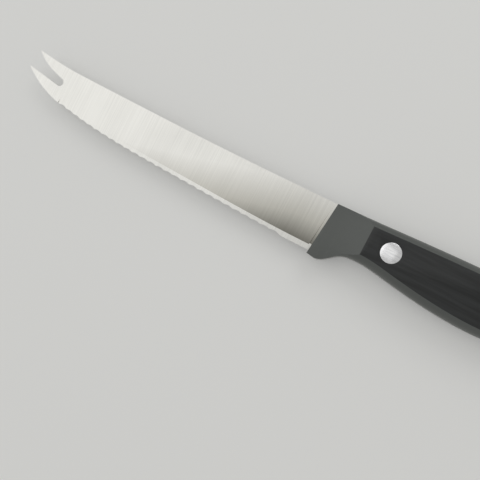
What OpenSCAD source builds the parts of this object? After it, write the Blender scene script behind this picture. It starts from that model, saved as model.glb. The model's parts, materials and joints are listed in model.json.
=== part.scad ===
/* [Blade] */
// Length of the blade, from the spine end of the heel to the tip of the lower prong
blade_length = 140; // [110:1:170]
// Height of the blade at the heel
blade_height = 18.8; // [16:0.2:24]
// Thickness of the steel strip, which the tang keeps
steel_thickness = 1.6; // [1.2:0.1:2.4]
// Steel ground off each side at the spine, by the heel
spine_grind = 0.1; // [0.05:0.01:0.15]
// Thickness left behind the edge bevel, by the heel
edge_thickness = 0.42; // [0.3:0.02:0.6]
// Thickness lost from the heel to the tip
distal_taper = 0.28; // [0.1:0.02:0.4]
// How far the lower end of the heel leans towards the tip
heel_slant = 1.8; // [0:0.1:4]
// Gap between the end of the grind and the handle
grind_stop = 0.35; // [0.2:0.05:1]

/* [Fork] */
// How far the spine rises at the start of the fork
spine_rise = 2.1; // [0:0.1:4]
// How far the tip of the upper prong rises above the spine line
upper_prong_rise = 4.3; // [3.6:0.1:6]
// Gap between the two prong tips
prong_gap = 7.9; // [7:0.1:9]
// How far the upper prong ends short of the lower one
prong_stagger = 1.6; // [0:0.1:3]
// Width of the blunt end of each prong
prong_land = 0.35; // [0.2:0.05:0.6]
// Depth of the notch from the upper tip to the centre of its round root
notch_depth = 14.8; // [12:0.2:18]
// Radius of the round root of the notch
notch_radius = 1.6; // [1.2:0.1:2]

/* [Serrations] */
// Number of ground scallops
scallop_count = 27; // [20:1:28]
// Distance from one scallop to the next
scallop_pitch = 3.9; // [3.4:0.1:4]
// Depth of a scallop below the plain edge line
scallop_depth = 0.9; // [0.7:0.05:1.1]
// Radius of a scallop, seen from the side
scallop_radius = 3.4; // [3:0.1:4.5]
// Angle between the grinding wheel and the blade
scallop_angle = 16; // [12:1:24]
// Length of the plain edge between the heel and the first scallop
plain_edge = 12.2; // [8:0.1:16]
// Width of the bevel along the cutting edge
bevel_width = 1.9; // [1.4:0.1:2.4]
// Thickness left at the cutting edge itself
edge_land = 0.06; // [0.04:0.01:0.1]

/* [Handle] */
// Length of the handle
handle_length = 115; // [105:1:135]
// Thickness of the handle over both scales
handle_thickness = 12; // [10:0.2:15]
// How far the guard stands below the edge at the heel
guard_drop = 1.6; // [1:0.1:4]
// Depth of the neck behind the guard, below the spine line
neck_depth = 15; // [14:0.1:17]
// Depth of the belly below the spine line
belly_depth = 19.2; // [18:0.1:22]
// Depth of the waist in front of the butt, below the spine line
waist_depth = 17; // [16:0.1:19]
// Depth of the hooked butt, below the spine line
butt_depth = 20.8; // [19:0.1:23]
// How far the back of the handle arches above the spine line
back_arch = 1.2; // [0:0.1:2.5]
// Thickness of a scale at its front edge
front_thickness = 1.3; // [0.8:0.1:2]
// Length of the concave ramp, from the front edge to the flat side
ramp_length = 15.3; // [13:0.1:17]
// Slope at which the ramp leaves the front edge
ramp_start_angle = 3; // [0:0.5:5]
// Width of the rounded border round the flat side
border_width = 2.5; // [1.5:0.1:3]
// Height of the square foot under the rounded border
border_foot = 0.9; // [0.4:0.1:1.2]

/* [Rivets] */
// Diameter of a rivet head
head_diameter = 7; // [6:0.1:8]
// Thickness of a rivet head
head_thickness = 1.8; // [1.4:0.1:2.2]
// Diameter of the hollow half's shank
sleeve_diameter = 4.8; // [4.4:0.1:5.2]
// Diameter of the solid half's shank
stud_diameter = 3; // [2.6:0.1:3.4]
// Length of the solid half's shank
stud_reach = 7; // [4:0.1:8]
// Distance of the front rivet from the heel
front_rivet = 22.9; // [20:0.1:26]
// Distance of the rear rivet from the butt
rear_rivet = 20; // [17:0.1:24]
// Radial clearance round a shank in the scales and the tang
shank_clearance = 0.1; // [0.05:0.01:0.2]
// Radial clearance round a head in its counterbore
head_clearance = 0.04; // [0.02:0.01:0.1]
// Radial clearance of the solid half in the hollow half
press_clearance = 0.01; // [0.01:0.01:0.03]

/* [Hidden] */

$fn = 96;
// A cutter reaches this far past the surface that it cuts through
past = 1;

// The drawing's origin is the spine end of the heel, in the middle of the steel.
// The tips point along -X, the butt along +X, the spine along +Y and the left side along +Z.
half_steel = steel_thickness / 2;
half_handle = handle_thickness / 2;
scale_thickness = half_handle - half_steel;

// Steps along the outlines
curve_steps = 8;
fine_steps = 12;

// Tips of the two prongs
upper_tip = [prong_stagger - blade_length, upper_prong_rise];
lower_tip = [-blade_length, upper_prong_rise - prong_gap];
// The notch's root lies this far below the middle of the tips, and the spine rises this far behind them
root_drop = 4.55;
fork_length = 22.4;
notch_root = [upper_tip.x + notch_depth, (upper_tip.y + lower_tip.y) / 2 - root_drop];
fork_start = upper_tip.x + fork_length;
// Direction in which the notch's upper side leaves its root, and how far that side is bowed
root_exit = 74;
root_pull = 5.5;
mouth_pull = [5.6, -4.3];

// The outlines are cubic curves through knots of [x, y, slope]
serrated_length = scallop_count * scallop_pitch;
edge_back = -plain_edge - heel_slant;
edge_front = edge_back - serrated_length;
spine_knots = [
    [upper_tip.x, upper_tip.y, -0.14],
    [fork_start, spine_rise, -0.03],
    [-30, 0.1, -0.005],
    [0, 0, 0]
];
// How far the edge has risen at the first scallop behind the tip, and halfway along
front_rise = 6.6;
mid_rise = 1.25;
edge_knots = [
    [lower_tip.x, lower_tip.y, -0.68],
    [edge_front, front_rise - blade_height, -0.2],
    [edge_back - 0.4 * serrated_length, mid_rise - blade_height, -0.038],
    [edge_back, -blade_height, -0.012],
    [-heel_slant, -blade_height, 0]
];
guard_depth = blade_height + guard_drop;
// Places of the neck, the belly and the top of the back behind the heel
neck_x = 14.6;
belly_x = 54;
arch_x = 58;
// Places of the waist and of the end of the back ahead of the butt
waist_x = handle_length - 31;
back_end = handle_length - 17;
// How far the back has dropped where the round butt begins
back_fall = 2.1;
back_knots = [
    [0, 0, 0],
    [22, 0.38 * back_arch, 0.035],
    [arch_x, back_arch, 0],
    [back_end, back_arch - back_fall, -0.1]
];
// Radius of the hooked corner of the butt, and the pull of the curve above it
butt_radius = 6.5;
butt_pull = [9, 8];
// The front edge of a scale carries on past the cutting edge, in line with the heel
front_drop = 1.2;
front_low = (blade_height + front_drop) / blade_height * [-heel_slant, -blade_height];
belly_knots = [
    [front_low.x, front_low.y, -0.12],
    [1.2, -guard_depth, 0],
    [7, -neck_depth - 0.37 * (guard_depth - neck_depth), 0.85],
    [neck_x, -neck_depth, 0],
    [28, -neck_depth - 0.42 * (belly_depth - neck_depth), -0.16],
    [belly_x, -belly_depth, 0],
    [waist_x, -waist_depth, 0],
    [handle_length - butt_radius - 1.5, -butt_depth, 0]
];

// Centres of the three rivets
rear_x = handle_length - rear_rivet;
rivet_x = [front_rivet, (front_rivet + rear_x) / 2, rear_x];
FRONT = 0;
MIDDLE = 1;
REAR = 2;

// Flat grind: half thickness of the blade at any point of its side
grind_back = half_steel - spine_grind;
grind_down = (grind_back - edge_thickness / 2) / blade_height;
grind_along = distal_taper / 2 / blade_length;
function half_blade(x, y) = grind_back + grind_along * x + grind_down * y;

// The part lies on its right side, with the middle of its box over the origin
box_middle = [
    (handle_length - blade_length) / 2,
    (upper_prong_rise - max(butt_depth, guard_depth)) / 2
];

// Height of a cubic curve between two knots, and along a whole list of knots
function between(a, b, x) =
    let (w = b.x - a.x, t = (x - a.x) / w)
    a.y * (1 + 2 * t) * (1 - t) * (1 - t) + a[2] * w * t * (1 - t) * (1 - t)
    + b.y * t * t * (3 - 2 * t) - b[2] * w * t * t * (1 - t);
function segment(knots, x, i = 0) =
    i >= len(knots) - 2 || x <= knots[i + 1].x ? i : segment(knots, x, i + 1);
function curve_y(knots, x) =
    let (i = segment(knots, x)) between(knots[i], knots[i + 1], x);

// Points along a list of knots, and the same backwards
function curve(knots, steps = curve_steps) = [
    for (i = [0 : len(knots) - 2], s = [0 : steps - 1])
        let (x = knots[i].x + (knots[i + 1].x - knots[i].x) * s / steps)
        [x, between(knots[i], knots[i + 1], x)],
    [knots[len(knots) - 1].x, knots[len(knots) - 1].y]
];
function backwards(points) = [for (i = [len(points) - 1 : -1 : 0]) points[i]];

// Points of a Bezier curve, without its last
function bezier(a, b, c, d, steps = fine_steps) = [
    for (s = [0 : steps - 1])
        let (t = s / steps, u = 1 - t)
        a * u * u * u + 3 * b * u * u * t + 3 * c * u * t * t + d * t * t * t
];

// Points of an arc, without its last
function arc(centre, radius, from, to, steps = fine_steps) = [
    for (s = [0 : steps - 1])
        let (turn = from + (to - from) * s / steps)
        centre + radius * [cos(turn), sin(turn)]
];

// Slope of the edge, as an angle, and the direction into the steel there
function edge_turn(x) = atan((curve_y(edge_knots, x + 0.5) - curve_y(edge_knots, x - 0.5)));
function inward(x) = [-sin(edge_turn(x)), cos(edge_turn(x))];
function edge_point(x) = [x, curve_y(edge_knots, x)];

// Middle of the handle's height, where a rivet sits
function rivet_centre(i) =
    let (x = rivet_x[i])
    [x, (curve_y(back_knots, min(x, back_end)) + curve_y(belly_knots, x)) / 2];

// The handle's back, butt and belly, from the heel round to the guard, clockwise
butt_centre = [handle_length - butt_radius, butt_radius - butt_depth];
back_last = back_knots[len(back_knots) - 1];
handle_outline = concat(
    [for (p = curve(back_knots)) if (p.x < back_end - 0.01) p],
    bezier(
        [back_last.x, back_last.y],
        [back_last.x + butt_pull.x, back_last.y + back_last[2] * butt_pull.x],
        [handle_length, butt_centre.y + butt_pull.y],
        [handle_length, butt_centre.y]
    ),
    arc(butt_centre, butt_radius, 0, -90),
    backwards(curve(belly_knots))
);

// Outline of the steel: blade and tang in one piece
module steel_outline() {
    polygon(concat(
        curve(spine_knots),
        [for (p = handle_outline) if (p.x > 0.01 || p.y < -1) p],
        backwards(curve(edge_knots, fine_steps))
    ));
}

// The notch between the prongs: its upper side is bowed and its lower side is straight
module notch() {
    mouth_up = upper_tip - [0, prong_land];
    mouth_low = lower_tip + [0, prong_land];
    r = notch_radius;
    side = mouth_low - notch_root;
    root_end = notch_root + r * [cos(root_exit), sin(root_exit)];
    root_way = [-sin(root_exit), cos(root_exit)];
    low_turn = (atan2(side.y, side.x) + 360) % 360 + acos(r / norm(side));
    polygon(concat(
        [mouth_low - [2 * past, 0], mouth_low],
        arc(notch_root, r, low_turn, root_exit + 360),
        bezier(root_end, root_end + root_pull * root_way, mouth_up + mouth_pull, mouth_up),
        [mouth_up, mouth_up - [2 * past + prong_stagger, 0]]
    ));
}

// What the flat grind takes off the left side; its end slopes up just before the handle
module side_grind() {
    run = blade_length + 2 * past;
    tilt = sqrt(1 + grind_along * grind_along + grind_down * grind_down);
    translate([0, 0, grind_back])
        rotate([asin(grind_down / tilt), -atan(grind_along), 0])
            rotate([0, 0, -atan(heel_slant / blade_height)])
                translate([-grind_stop - half_steel, 0, 0])
                    rotate([90, 0, 0])
                        linear_extrude(height = 3 * blade_height, center = true)
                            polygon([
                                [-run, 0], [0, 0],
                                [half_steel, steel_thickness], [-run, steel_thickness]
                            ]);
}

// What the edge bevel takes off the left side, along the plain and the serrated edge
module edge_bevel() {
    stations = [for (i = [0 : scallop_count + 3])
        edge_front - past + (serrated_length + plain_edge + past) * i / (scallop_count + 3)];
    rise = bevel_width / 5;
    sections = [for (x = stations)
        let (
            p = edge_point(x), n = inward(x), q = p + bevel_width * n,
            top = half_blade(q.x, q.y), low = edge_land / 2,
            slope = (top - low) / bevel_width,
            inner = q + rise * n, outer = p - past * n
        )
        [
            [outer.x, outer.y, low - slope * past],
            [inner.x, inner.y, top + slope * rise],
            [inner.x, inner.y, steel_thickness],
            [outer.x, outer.y, steel_thickness]
        ]];
    count = len(sections);
    polyhedron(
        points = [for (s = sections, p = s) p],
        faces = concat(
            [[0, 1, 2, 3]],
            [[4 * count - 1, 4 * count - 2, 4 * count - 3, 4 * count - 4]],
            [for (i = [0 : count - 2], k = [0 : 3], half = [0, 1])
                let (a = 4 * i + k, b = 4 * i + (k + 1) % 4)
                half == 0 ? [a, a + 4, b] : [b, a + 4, b + 4]]
        )
    );
}

// One scallop, ground from the right side by a tilted wheel
module scallop(i) {
    x = edge_back - (i + 0.5) * scallop_pitch;
    valley = edge_point(x) + scallop_depth * inward(x);
    wheel = scallop_radius / sin(scallop_angle);
    reach = 7;
    translate([valley.x, valley.y, edge_land / 2])
        rotate([0, 0, edge_turn(x)])
            rotate([-90 - scallop_angle, 0, 0])
                translate([0, wheel, -reach / 2])
                    cylinder(r = wheel, h = reach, $fn = 180);
}

module blade() {
    color("silver")
    difference() {
        translate([0, 0, -half_steel])
            linear_extrude(height = steel_thickness)
                difference() {
                    steel_outline();
                    notch();
                }
        side_grind();
        mirror([0, 0, 1]) side_grind();
        edge_bevel();
        mirror([0, 0, 1]) edge_bevel();
        for (i = [0 : scallop_count - 1])
            scallop(i);
        for (i = [FRONT, MIDDLE, REAR])
            translate([rivet_centre(i).x, rivet_centre(i).y, 0])
                cylinder(d = sleeve_diameter + 2 * shank_clearance, h = 3 * steel_thickness, center = true);
    }
}

// Way into the handle from a point of its outline; at the two front corners it runs along the heel
heel_down = [-heel_slant, -blade_height] / norm([heel_slant, blade_height]);
function into_handle(i) =
    let (last = len(handle_outline) - 1)
    i == 0 ? heel_down
    : i == last ? -heel_down
    : let (run = handle_outline[i + 1] - handle_outline[i - 1]) [run.y, -run.x] / norm(run);

// Rounded border: how far in it is at a height, as an arc that meets the flat side at an angle
border_rise = scale_thickness - border_foot;
border_radius = (border_width * border_width + border_rise * border_rise) / (2 * border_width);
border_turn = asin(border_rise / border_radius);
border_steps = 6;
border_lid = 0.3;
border_layers = concat(
    [[0, -past]],
    [for (s = [0 : border_steps])
        let (turn = border_turn * s / border_steps)
        [border_radius * (1 - cos(turn)), border_foot + border_radius * sin(turn)]],
    [[border_width + border_lid * tan(border_turn), scale_thickness + border_lid]]
);

// Body of a scale, with the rounded border all round it, cut square at both faces
module scale_body() {
    n = len(handle_outline);
    layers = len(border_layers);
    intersection() {
        polyhedron(
            points = [for (layer = border_layers, i = [0 : n - 1])
                let (p = handle_outline[i] + layer[0] * into_handle(i))
                [p.x, p.y, layer[1]]],
            faces = concat(
                [[for (i = [n - 1 : -1 : 0]) i]],
                [[for (i = [0 : n - 1]) (layers - 1) * n + i]],
                [for (k = [0 : layers - 2], i = [0 : n - 1], half = [0, 1])
                    let (a = k * n + i, b = k * n + (i + 1) % n)
                    half == 0 ? [a, b, a + n] : [b, b + n, a + n]]
            )
        );
        translate([-handle_length / 2, -handle_length / 2, 0])
            cube([2 * handle_length, handle_length, scale_thickness]);
    }
}

// Concave ramp from the thin front edge up to the flat side, as an arc in short flats
ramp_rise = scale_thickness - front_thickness;
ramp_chord_angle = atan(ramp_rise / ramp_length);
ramp_chord = norm([ramp_rise, ramp_length]);
ramp_radius = ramp_chord / 2 / sin(ramp_chord_angle - ramp_start_angle);
ramp_end_angle = 2 * ramp_chord_angle - ramp_start_angle;
ramp_steps = 16;
ramp_front = -heel_slant / 2;
ramp_back = ramp_front + ramp_length;
ramp_centre = [
    ramp_front - ramp_radius * sin(ramp_start_angle),
    front_thickness + ramp_radius * cos(ramp_start_angle)
];
module ramp_cut() {
    ahead = 2 * heel_slant + past;
    rotate([90, 0, 0])
        linear_extrude(height = 4 * guard_depth, center = true)
            polygon(concat(
                [[ramp_front - ahead, scale_thickness + past]],
                [[ramp_front - ahead, front_thickness - ahead * tan(ramp_start_angle)]],
                arc(ramp_centre, ramp_radius, ramp_start_angle - 90, ramp_end_angle - 90, ramp_steps),
                [[ramp_back, scale_thickness]],
                [[ramp_back + past / tan(ramp_end_angle), scale_thickness + past]]
            ));
}

// One scale lying on its inner face, which meets the tang
module handle_scale() {
    difference() {
        scale_body();
        ramp_cut();
        for (i = [FRONT, MIDDLE, REAR])
            translate([rivet_centre(i).x, rivet_centre(i).y, 0]) {
                translate([0, 0, -past])
                    cylinder(d = sleeve_diameter + 2 * shank_clearance, h = scale_thickness + 2 * past);
                translate([0, 0, scale_thickness - head_thickness])
                    cylinder(d = head_diameter + 2 * head_clearance, h = head_thickness + past);
            }
    }
}
module left_scale() {
    color("#26272a")
    translate([0, 0, half_steel]) handle_scale();
}
module right_scale() {
    color("#26272a")
    mirror([0, 0, 1]) translate([0, 0, half_steel]) handle_scale();
}

// Hollow half of a rivet: its head is flush with the left scale and its shank goes right through
sleeve_end = head_thickness - half_handle;
module rivet_sleeve(i) {
    color("gainsboro")
    translate([rivet_centre(i).x, rivet_centre(i).y, 0])
    difference() {
        union() {
            translate([0, 0, half_handle - head_thickness])
                cylinder(d = head_diameter, h = head_thickness);
            translate([0, 0, sleeve_end])
                cylinder(d = sleeve_diameter, h = handle_thickness - 2 * head_thickness);
        }
        translate([0, 0, sleeve_end - past])
            cylinder(r = stud_diameter / 2 + press_clearance, h = stud_reach + 2 * past);
    }
}

// Solid half of a rivet: its head is flush with the right scale and its shank fills the sleeve
module rivet_stud(i) {
    color("gainsboro")
    translate([rivet_centre(i).x, rivet_centre(i).y, 0]) {
        translate([0, 0, -half_handle])
            cylinder(d = head_diameter, h = head_thickness);
        translate([0, 0, sleeve_end - head_thickness / 2])
            cylinder(d = stud_diameter, h = stud_reach + head_thickness / 2);
    }
}

// Lays a piece in the part's own frame
module placed() {
    translate([-box_middle.x, -box_middle.y, half_handle]) children();
}

placed() blade();
placed() left_scale();
placed() right_scale();
placed() rivet_sleeve(FRONT);  // front_rivet_sleeve
placed() rivet_stud(FRONT);  // front_rivet_stud
placed() rivet_sleeve(MIDDLE);  // middle_rivet_sleeve
placed() rivet_stud(MIDDLE);  // middle_rivet_stud
placed() rivet_sleeve(REAR);  // rear_rivet_sleeve
placed() rivet_stud(REAR);  // rear_rivet_stud
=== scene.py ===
import json
from math import radians

import bpy
from mathutils import Matrix, Vector

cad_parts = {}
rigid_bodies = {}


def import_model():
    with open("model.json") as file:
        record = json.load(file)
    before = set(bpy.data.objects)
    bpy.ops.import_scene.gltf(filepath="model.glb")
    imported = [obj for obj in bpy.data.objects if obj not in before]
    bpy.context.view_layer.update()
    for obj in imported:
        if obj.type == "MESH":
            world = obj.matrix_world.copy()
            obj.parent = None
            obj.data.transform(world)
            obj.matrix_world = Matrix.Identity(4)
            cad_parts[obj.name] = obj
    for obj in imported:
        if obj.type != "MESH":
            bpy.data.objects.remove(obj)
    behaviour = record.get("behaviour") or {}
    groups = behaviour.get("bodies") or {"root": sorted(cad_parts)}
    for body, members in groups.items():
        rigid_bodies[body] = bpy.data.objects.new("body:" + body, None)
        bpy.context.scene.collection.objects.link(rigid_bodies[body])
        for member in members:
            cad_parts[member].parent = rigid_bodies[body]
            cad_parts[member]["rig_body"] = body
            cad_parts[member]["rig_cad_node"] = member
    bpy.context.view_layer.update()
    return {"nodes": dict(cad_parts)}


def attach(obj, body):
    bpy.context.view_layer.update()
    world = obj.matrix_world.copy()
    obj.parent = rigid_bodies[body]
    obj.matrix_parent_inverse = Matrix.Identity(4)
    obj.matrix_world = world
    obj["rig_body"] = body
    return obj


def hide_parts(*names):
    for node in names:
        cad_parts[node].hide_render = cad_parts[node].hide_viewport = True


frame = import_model()
print("frame loaded:", len(frame["nodes"]), "nodes")


def hexColour(code):
    # sRGB hex, as read off a picture, to the linear colour that a shader takes
    parts = [int(code[i:i + 2], 16) / 255 for i in (1, 3, 5)]
    return tuple([p / 12.92 if p <= 0.04045 else ((p + 0.055) / 1.055) ** 2.4 for p in parts] + [1.0])


def addNode(tree, kind, settings=None, values=None, links=None):
    # one node, its settings, its fixed inputs, and what feeds its other inputs
    made = tree.nodes.new(kind)
    for name, value in (settings or {}).items():
        setattr(made, name, value)
    for name, value in (values or {}).items():
        made.inputs[name].default_value = value
    for name, source in (links or {}).items():
        tree.links.new(source, made.inputs[name])
    return made


def newMaterial(name):
    material = bpy.data.materials.new(name)
    material.use_nodes = True
    material.node_tree.nodes.clear()
    return material, material.node_tree


def rampColours(ramp, stops):
    while len(ramp.color_ramp.elements) < len(stops):
        ramp.color_ramp.elements.new(0.5)
    for element, (place, code) in zip(ramp.color_ramp.elements, stops):
        element.position = place
        element.color = hexColour(code)


def closeMaterial(tree, shader):
    addNode(tree, "ShaderNodeOutputMaterial", links={"Surface": shader.outputs["BSDF"]})


groundSteelLook = {
    # painted light and shade: the blade's colour is lighter at the spine and darker towards the edge
    "paintedLitSpineColour": "#e2e1dc",
    "paintedMidShadeColour": "#bbb9b1",
    "paintedShadedEdgeColour": "#5a5850",
    "spineY": 0.0084,       # metres, height of the spine in the part's frame
    "edgeY": -0.0108,
    "heelX": 0.0,           # painted shade, darker at the heel, fades from here
    "brightX": -0.07,       # to here, beyond which the blade is painted brighter
    "heelTone": 0.88,       # place on the colour ramp of the spine at the heel
    "tipLightLift": 0.75,       # and how far the painted light towards the tip lifts it
    "bevelFrom": -0.06,     # the bevel is told from the flat by how far it faces the edge
    "bevelTo": -0.09,
    "cloudsPerMetre": 45,
    "markStrength": 0.35,
    "bevelHighlightColour": "#e3e2dd",  # painted highlight: the edge bevel gets one lighter colour, even all along
    "linesPerMetre": 2400,  # wheel marks about 0.4 mm apart, coarser than real so that they show
    "roughnessLow": 0.28,
    "roughnessHigh": 0.38,
    "markDepth": 0.00003,
    "anisotropy": 0.6,      # the marks spread a highlight along the blade only
}


def groundStainless(look):
    # cold-rolled X50CrMoV15 strip, flat ground with a wheel that runs across the blade:
    # a satin sheen broken by fine parallel marks from spine to edge
    material, tree = newMaterial("groundStainless")
    place = addNode(tree, "ShaderNodeTexCoord")
    marks = addNode(tree, "ShaderNodeMapping",
                    values={"Scale": (look["linesPerMetre"], 28, 28)},
                    links={"Vector": place.outputs["Object"]})
    grain = addNode(tree, "ShaderNodeTexNoise",
                    values={"Scale": 1.0, "Detail": 3.0, "Roughness": 0.6},
                    links={"Vector": marks.outputs["Vector"]})
    cloudy = addNode(tree, "ShaderNodeTexNoise",
                     values={"Scale": look["cloudsPerMetre"], "Detail": 2.0},
                     links={"Vector": place.outputs["Object"]})
    axes = addNode(tree, "ShaderNodeSeparateXYZ", links={"Vector": place.outputs["Object"]})
    height = addNode(tree, "ShaderNodeMapRange",
                     values={"From Min": look["edgeY"], "From Max": look["spineY"],
                             "To Max": look["heelTone"]},
                     links={"Value": axes.outputs["Y"]})
    # painted light: the steel colour is lightened from the heel towards the tip
    paintedTipLight = addNode(tree, "ShaderNodeMapRange",
                    values={"From Min": look["heelX"], "From Max": look["brightX"],
                            "To Max": look["tipLightLift"]},
                    links={"Value": axes.outputs["X"]})
    lift = addNode(tree, "ShaderNodeMath", settings={"operation": "ADD", "use_clamp": True},
                   links={0: height.outputs["Result"], 1: paintedTipLight.outputs["Result"]})
    # painted light and shade: the steel colour runs from darker at the edge to lighter at the spine
    shade = addNode(tree, "ShaderNodeValToRGB", links={"Fac": lift.outputs["Value"]})
    rampColours(shade, [(0.0, look["paintedShadedEdgeColour"]), (0.45, look["paintedMidShadeColour"]),
                        (1.0, look["paintedLitSpineColour"])])
    dark = addNode(tree, "ShaderNodeMapRange",
                   values={"From Min": 0.3, "From Max": 0.7, "To Min": 0.92, "To Max": 1.04},
                   links={"Value": grain.outputs["Fac"]})
    facing = addNode(tree, "ShaderNodeSeparateXYZ", links={"Vector": place.outputs["Normal"]})
    # painted highlight: faces turned towards the edge, the bevel, are given a lighter colour
    bevelFacing = addNode(tree, "ShaderNodeMapRange",
                    values={"From Min": look["bevelFrom"], "From Max": look["bevelTo"]},
                    links={"Value": facing.outputs["Y"]})
    steelColour = addNode(tree, "ShaderNodeMixRGB",
                          values={"Color2": hexColour(look["bevelHighlightColour"])},
                          links={"Fac": bevelFacing.outputs["Result"], "Color1": shade.outputs["Color"]})
    tint = addNode(tree, "ShaderNodeVectorMath", settings={"operation": "SCALE"},
                   links={"Vector": steelColour.outputs["Color"], "Scale": dark.outputs["Result"]})
    blur = addNode(tree, "ShaderNodeMapRange",
                   values={"From Min": 0.3, "From Max": 0.7,
                           "To Min": look["roughnessLow"], "To Max": look["roughnessHigh"]},
                   links={"Value": cloudy.outputs["Fac"]})
    relief = addNode(tree, "ShaderNodeBump",
                     values={"Strength": look["markStrength"], "Distance": look["markDepth"]},
                     links={"Height": grain.outputs["Fac"]})
    along = addNode(tree, "ShaderNodeCombineXYZ", values={"X": 1.0})
    shader = addNode(tree, "ShaderNodeBsdfPrincipled",
                     values={"Metallic": 1.0, "Anisotropic": look["anisotropy"]},
                     links={"Base Color": tint.outputs["Vector"], "Roughness": blur.outputs["Result"],
                            "Normal": relief.outputs["Normal"], "Tangent": along.outputs["Vector"]})
    closeMaterial(tree, shader)
    return material


mouldedLook = {
    "lightColour": "#242626",
    "darkColour": "#0f1110",
    "paintedSheenColour": "#525552",  # painted sheen: the ramp and border get a lighter colour than the ground flat
    "middleZ": 0.006,
    "flatLow": 0.00588,       # metres from the middle plane, where the ground flat begins
    "flatHigh": 0.00597,
    "streaksAcross": 650,   # per metre, so streaks about 1.5 mm wide
    "streaksAlong": 45,     # and 20 mm long
    "roughnessLow": 0.32,
    "roughnessHigh": 0.42,
    "skinDepth": 0.00002,
    "poresPerMetre": 2600,
}


def mouldedPom(look):
    # black acetal (POM), injection moulded and then ground flush with the tang:
    # a lighter colour on the ramp and border, a painted sheen; a darker satin flat with faint
    # lengthwise streaks
    material, tree = newMaterial("mouldedPom")
    place = addNode(tree, "ShaderNodeTexCoord")
    flow = addNode(tree, "ShaderNodeMapping",
                   values={"Scale": (look["streaksAlong"], look["streaksAcross"],
                                     look["streaksAcross"])},
                   links={"Vector": place.outputs["Object"]})
    streaks = addNode(tree, "ShaderNodeTexNoise",
                      values={"Scale": 1.0, "Detail": 4.0, "Roughness": 0.55, "Distortion": 0.4},
                      links={"Vector": flow.outputs["Vector"]})
    pores = addNode(tree, "ShaderNodeTexNoise",
                    values={"Scale": look["poresPerMetre"], "Detail": 2.0},
                    links={"Vector": place.outputs["Object"]})
    colour = addNode(tree, "ShaderNodeValToRGB", links={"Fac": streaks.outputs["Fac"]})
    rampColours(colour, [(0.35, look["darkColour"]), (0.7, look["lightColour"])])
    axes = addNode(tree, "ShaderNodeSeparateXYZ", links={"Vector": place.outputs["Object"]})
    fromMiddle = addNode(tree, "ShaderNodeMath", settings={"operation": "SUBTRACT"},
                         values={1: look["middleZ"]}, links={0: axes.outputs["Z"]})
    depth = addNode(tree, "ShaderNodeMath", settings={"operation": "ABSOLUTE"},
                    links={0: fromMiddle.outputs["Value"]})
    ground = addNode(tree, "ShaderNodeMapRange",
                     values={"From Min": look["flatLow"], "From Max": look["flatHigh"]},
                     links={"Value": depth.outputs["Value"]})
    # painted sheen: all but the ground flat takes the lighter colour
    plastic = addNode(tree, "ShaderNodeMixRGB", values={"Color1": hexColour(look["paintedSheenColour"])},
                      links={"Fac": ground.outputs["Result"], "Color2": colour.outputs["Color"]})
    blur = addNode(tree, "ShaderNodeMapRange",
                   values={"From Min": 0.3, "From Max": 0.7,
                           "To Min": look["roughnessLow"], "To Max": look["roughnessHigh"]},
                   links={"Value": streaks.outputs["Fac"]})
    skin = addNode(tree, "ShaderNodeBump", values={"Strength": 0.25, "Distance": look["skinDepth"]},
                   links={"Height": pores.outputs["Fac"]})
    shader = addNode(tree, "ShaderNodeBsdfPrincipled", values={"IOR": 1.48},
                     links={"Base Color": plastic.outputs["Color"], "Roughness": blur.outputs["Result"],
                            "Normal": skin.outputs["Normal"]})
    closeMaterial(tree, shader)
    return material


rivetLook = {
    "lightColour": "#f4f4f4",
    "darkColour": "#e2e2e4",
    "roughness": 0.2,
    "scratchesPerMetre": 2400,
    "scratchDepth": 0.00001,
    "scratchTurn": 24,
}


def polishedRivetSteel(look):
    # stainless cutlery rivet, ground flush and polished: bright, with a few fine scratches
    material, tree = newMaterial("polishedRivetSteel")
    place = addNode(tree, "ShaderNodeTexCoord")
    turned = addNode(tree, "ShaderNodeMapping",
                     values={"Rotation": (0, 0, radians(look["scratchTurn"])),
                             "Scale": (160, look["scratchesPerMetre"], 160)},
                     links={"Vector": place.outputs["Object"]})
    scratches = addNode(tree, "ShaderNodeTexNoise", values={"Scale": 1.0, "Detail": 3.0},
                        links={"Vector": turned.outputs["Vector"]})
    colour = addNode(tree, "ShaderNodeValToRGB", links={"Fac": scratches.outputs["Fac"]})
    rampColours(colour, [(0.35, look["darkColour"]), (0.6, look["lightColour"])])
    relief = addNode(tree, "ShaderNodeBump", values={"Strength": 0.3, "Distance": look["scratchDepth"]},
                     links={"Height": scratches.outputs["Fac"]})
    shader = addNode(tree, "ShaderNodeBsdfPrincipled",
                     values={"Metallic": 1.0, "Roughness": look["roughness"]},
                     links={"Base Color": colour.outputs["Color"], "Normal": relief.outputs["Normal"]})
    closeMaterial(tree, shader)
    return material


def plainFloor(look):
    # matt painted board, a little paler to the eye and in reflections than the light makes it
    material, tree = newMaterial("plainFloor")
    seen = addNode(tree, "ShaderNodeLightPath")
    both = addNode(tree, "ShaderNodeMath", settings={"operation": "ADD", "use_clamp": True},
                   links={0: seen.outputs["Is Camera Ray"], 1: seen.outputs["Is Glossy Ray"]})
    paler = addNode(tree, "ShaderNodeMath", settings={"operation": "MULTIPLY"},
                    values={1: look["paler"]}, links={0: both.outputs["Value"]})
    shader = addNode(tree, "ShaderNodeBsdfPrincipled",
                     values={"Base Color": hexColour(look["colour"]), "Roughness": look["roughness"],
                             "Emission Color": hexColour("#ffffff")},
                     links={"Emission Strength": paler.outputs["Value"]})
    closeMaterial(tree, shader)
    return material


steel = groundStainless(groundSteelLook)
acetal = mouldedPom(mouldedLook)
bright = polishedRivetSteel(rivetLook)
print("materials ready")


mergeWithin = 0.000001  # metres
wallSlope = 0.5         # a face with less of its normal along Z is a wall of the outline


def pickOnly(thing):
    bpy.ops.object.select_all(action="DESELECT")
    thing.select_set(True)
    bpy.context.view_layer.objects.active = thing


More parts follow.
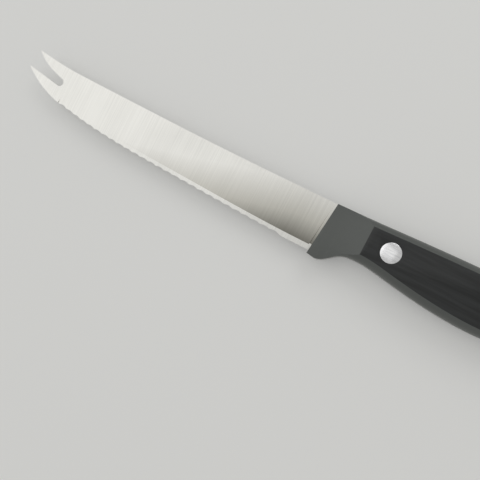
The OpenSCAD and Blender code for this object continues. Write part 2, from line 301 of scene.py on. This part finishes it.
def finishedCopy(node, finish):
    # the CAD node's own shape, merged, with its corners broken and its curves shaded smooth
    source = frame["nodes"][node]
    piece = source.copy()
    piece.data = source.data.copy()
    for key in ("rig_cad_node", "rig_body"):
        if key in piece:
            del piece[key]
    piece.parent = None
    piece.name = finish["name"]
    piece.data.name = finish["name"]
    bpy.context.scene.collection.objects.link(piece)
    pickOnly(piece)
    if piece.data.has_custom_normals:  # they no longer fit once the triangles are merged
        bpy.ops.mesh.customdata_custom_splitnormals_clear()
    bpy.ops.object.mode_set(mode="EDIT")
    bpy.ops.mesh.select_all(action="SELECT")
    bpy.ops.mesh.remove_doubles(threshold=mergeWithin)
    if finish["flatten"]:
        bpy.ops.mesh.dissolve_limited(angle_limit=radians(finish["flatten"]))
    bpy.ops.object.mode_set(mode="OBJECT")
    if finish["arris"]:
        softened = piece.modifiers.new("arris", "BEVEL")
        softened.limit_method = "ANGLE"
        softened.angle_limit = radians(finish["arrisAngle"])
        softened.width = finish["arris"]
        softened.segments = 2
        bpy.ops.object.modifier_apply(modifier=softened.name)
    bpy.ops.object.shade_smooth_by_angle(angle=radians(finish["smoothAngle"]))
    if finish["flatFaces"]:
        # ground planes stay flat, only the walls of the outline are smooth
        for face in piece.data.polygons:
            face.use_smooth = abs(face.normal.z) < wallSlope
    piece.data.materials.clear()
    piece.data.materials.append(finish["material"])
    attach(piece, "root")
    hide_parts(node)
    return piece


bladeFinish = {"name": "groundBlade", "flatten": 0, "arris": 0, "arrisAngle": 30, "smoothAngle": 25,
               "flatFaces": True,
               "material": steel, "slot": "blade_steel"}
scaleFinish = {"flatten": 0.3, "arris": 0.00018, "arrisAngle": 27, "smoothAngle": 24,
               "flatFaces": False,
               "material": acetal, "slot": "handle_black"}
rivetFinish = {"flatten": 0.3, "arris": 0.00012, "arrisAngle": 40, "smoothAngle": 30,
               "flatFaces": False,
               "material": bright, "slot": "rivet_steel"}

finishedCopy("blade", bladeFinish)
print("blade finished")

for side in ("left", "right"):
    finishedCopy(side + "_scale", dict(scaleFinish, name=side + "Scale"))
print("scales finished")

for place in ("front", "middle", "rear"):
    for half in ("sleeve", "stud"):
        finishedCopy(place + "_rivet_" + half, dict(rivetFinish, name=place + half.capitalize()))
print("rivets finished")


floorLook = {"size": 4.0, "colour": "#cbcbc8", "roughness": 0.9, "paler": 0.16}
bpy.ops.object.select_all(action="DESELECT")
bpy.ops.mesh.primitive_plane_add(size=floorLook["size"], location=(0, 0, 0))
floor = bpy.context.object
floor.name = "floorBoard"
floor.data.materials.append(plainFloor(floorLook))

skyLook = {"colour": "#fbfbfa", "strength": 0.55}
world = bpy.data.worlds.new("softSky")
bpy.context.scene.world = world
world.use_nodes = True
sky = world.node_tree.nodes["Background"]
sky.inputs["Color"].default_value = hexColour(skyLook["colour"])
sky.inputs["Strength"].default_value = skyLook["strength"]

lamps = {
    "tipSoftbox": {"at": (-1.0, 0.1, 1.1), "size": 1.5, "power": 4.4},
    "spineSoftbox": {"at": (0.1, 0.8, 0.7), "size": 0.5, "power": 1.4},
    "topPanel": {"at": (0.02, 0.12, 1.2), "size": 0.6, "power": 0.36},
}
for name, lamp in lamps.items():
    bpy.ops.object.light_add(type="AREA", location=lamp["at"])
    light = bpy.context.object
    light.name = name
    light.data.size = lamp["size"]
    light.data.energy = lamp["power"]
    light.rotation_euler = (-Vector(lamp["at"])).to_track_quat("-Z", "Y").to_euler()

cameraLook = {
    "at": (0.02870, -0.01798, 0.17468),
    "right": (0.85835, 0.46640, -0.21379),
    "up": (-0.45361, 0.88457, 0.10853),
    "back": (0.23973, 0.00382, 0.97083),
    "lens": 36.0,
    "sensor": 36.0,
    "clipStart": 0.005,
}
cameraData = bpy.data.cameras.new("photoView")
cameraData.sensor_fit = "HORIZONTAL"
cameraData.sensor_width = cameraLook["sensor"]
cameraData.lens = cameraLook["lens"]
cameraData.clip_start = cameraLook["clipStart"]
camera = bpy.data.objects.new("photoView", cameraData)
bpy.context.scene.collection.objects.link(camera)
turn = Matrix((cameraLook["right"], cameraLook["up"], cameraLook["back"])).transposed().to_4x4()
camera.matrix_world = Matrix.Translation(cameraLook["at"]) @ turn
bpy.context.scene.camera = camera
bpy.context.scene.view_settings.view_transform = "Standard"
print("stage ready")
